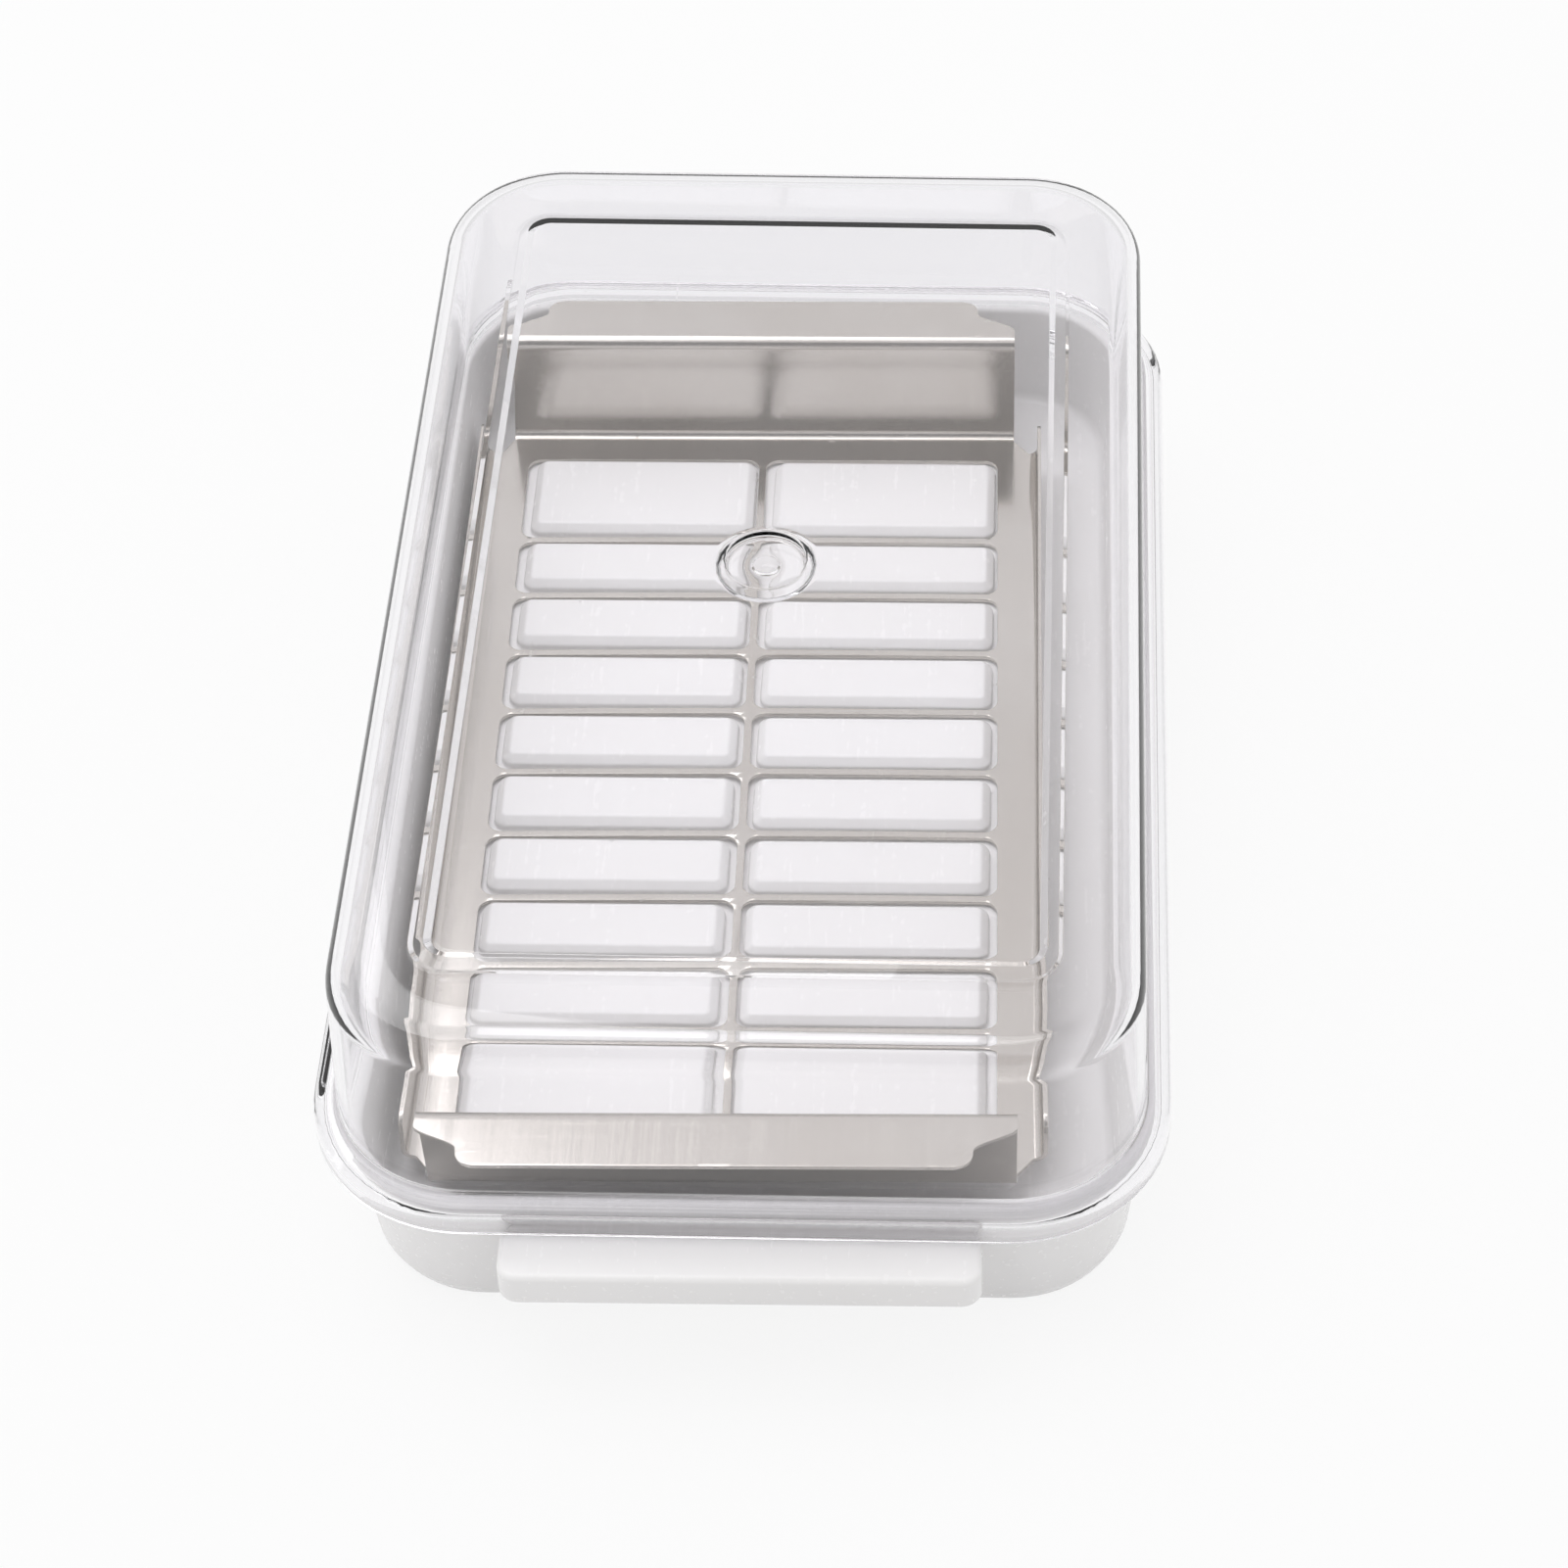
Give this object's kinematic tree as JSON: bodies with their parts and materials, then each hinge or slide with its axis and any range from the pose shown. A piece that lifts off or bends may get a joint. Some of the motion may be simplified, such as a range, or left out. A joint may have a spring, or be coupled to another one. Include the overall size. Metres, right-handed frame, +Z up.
{
  "type": "butter cutting box",
  "caption": "Low white tray with raised pads, a pressed steel grid cutter with finger flanges lying over them, and a clear lift-off cover.",
  "frame": {"origin": "middle of the outline with its tab, on the surface the box stands on", "axes": "+Z up, +Y along the box away from its tab, +X to the right when the tab faces the viewer"},
  "size_m": [0.1062, 0.1784, 0.0494],
  "materials": {
    "tray": "smooth moulded gloss",
    "steel": "polished stainless sheet",
    "cover": "clear moulded plastic"
  },
  "bodies": {
    "tray": {"tray": "tray", "raised_floor": "tray", "pads": "tray"},
    "cutter": {"cutter_near_end": "steel", "cutter_far_end": "steel", "cutter_left_side": "steel", "cutter_right_side": "steel", "cutter_centre_bar": "steel", "cutter_cross_bars": "steel"},
    "cover": {"cover_top": "cover", "cover_sides": "cover", "cover_corners": "cover"}
  },
  "joints": [
    {"name": "cutter_lift", "type": "slide", "parent": "tray", "child": "cutter", "axis": [0, 0, 1], "range_m": [0, 0.013]},
    {"name": "cover_lift", "type": "slide", "parent": "tray", "child": "cover", "axis": [0, 0, 1], "range_m": [0, 0.06]}
  ]
}
